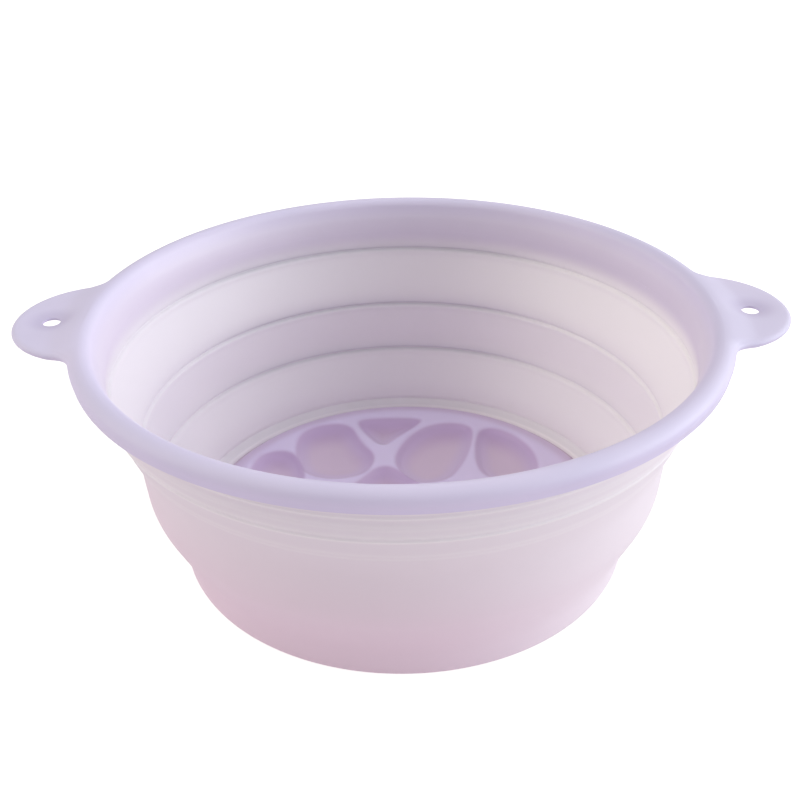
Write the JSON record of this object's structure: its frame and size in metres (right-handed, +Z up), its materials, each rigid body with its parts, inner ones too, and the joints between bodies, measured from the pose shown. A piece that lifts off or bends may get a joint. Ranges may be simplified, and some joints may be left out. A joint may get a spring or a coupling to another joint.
{
  "type": "foot spa basin",
  "caption": "Round folding foot soaking basin: hard rim with two hanging ears, soft wall with two folds, floor with raised massage ridges.",
  "frame": {"origin": "middle of the foot ring's under face, which the basin stands on", "axes": "+Z up through the middle of the basin; the two hanging ears lie along X; the basin is the same from the front and the back except for the massage relief"},
  "size_m": [0.4516, 0.3794, 0.1555],
  "materials": {
    "rim_plastic": "smooth gloss moulding, lilac",
    "wall_rubber": "milky translucent soft rubber, pale pink",
    "floor_plastic": "satin moulding, lilac"
  },
  "bodies": {
    "base": {"lower_fold_web": "wall_rubber", "lower_fold_bottom_hinge": "wall_rubber", "lower_wall_band": "wall_rubber", "plate_clamp_lip": "wall_rubber", "foot_ring": "wall_rubber", "base_plate": "floor_plastic", "massage_relief": "floor_plastic", "floor_rib_rings": "floor_plastic", "floor_radial_ribs": "floor_plastic"},
    "middle_ring": {"upper_fold_web": "wall_rubber", "upper_fold_bottom_hinge": "wall_rubber", "middle_wall_ring": "wall_rubber", "lower_fold_top_hinge": "wall_rubber"},
    "rim": {"rim_frame": "rim_plastic", "left_ear": "rim_plastic", "right_ear": "rim_plastic", "upper_wall_band": "wall_rubber", "upper_fold_top_hinge": "wall_rubber"}
  },
  "joints": [
    {"name": "lower_fold", "type": "slide", "parent": "base", "child": "middle_ring", "axis": [0, 0, -1], "range_m": [0, 0.05], "deforming": ["lower_fold_web"]},
    {"name": "upper_fold", "type": "slide", "parent": "middle_ring", "child": "rim", "axis": [0, 0, -1], "range_m": [0, 0.0665], "deforming": ["upper_fold_web"]}
  ]
}
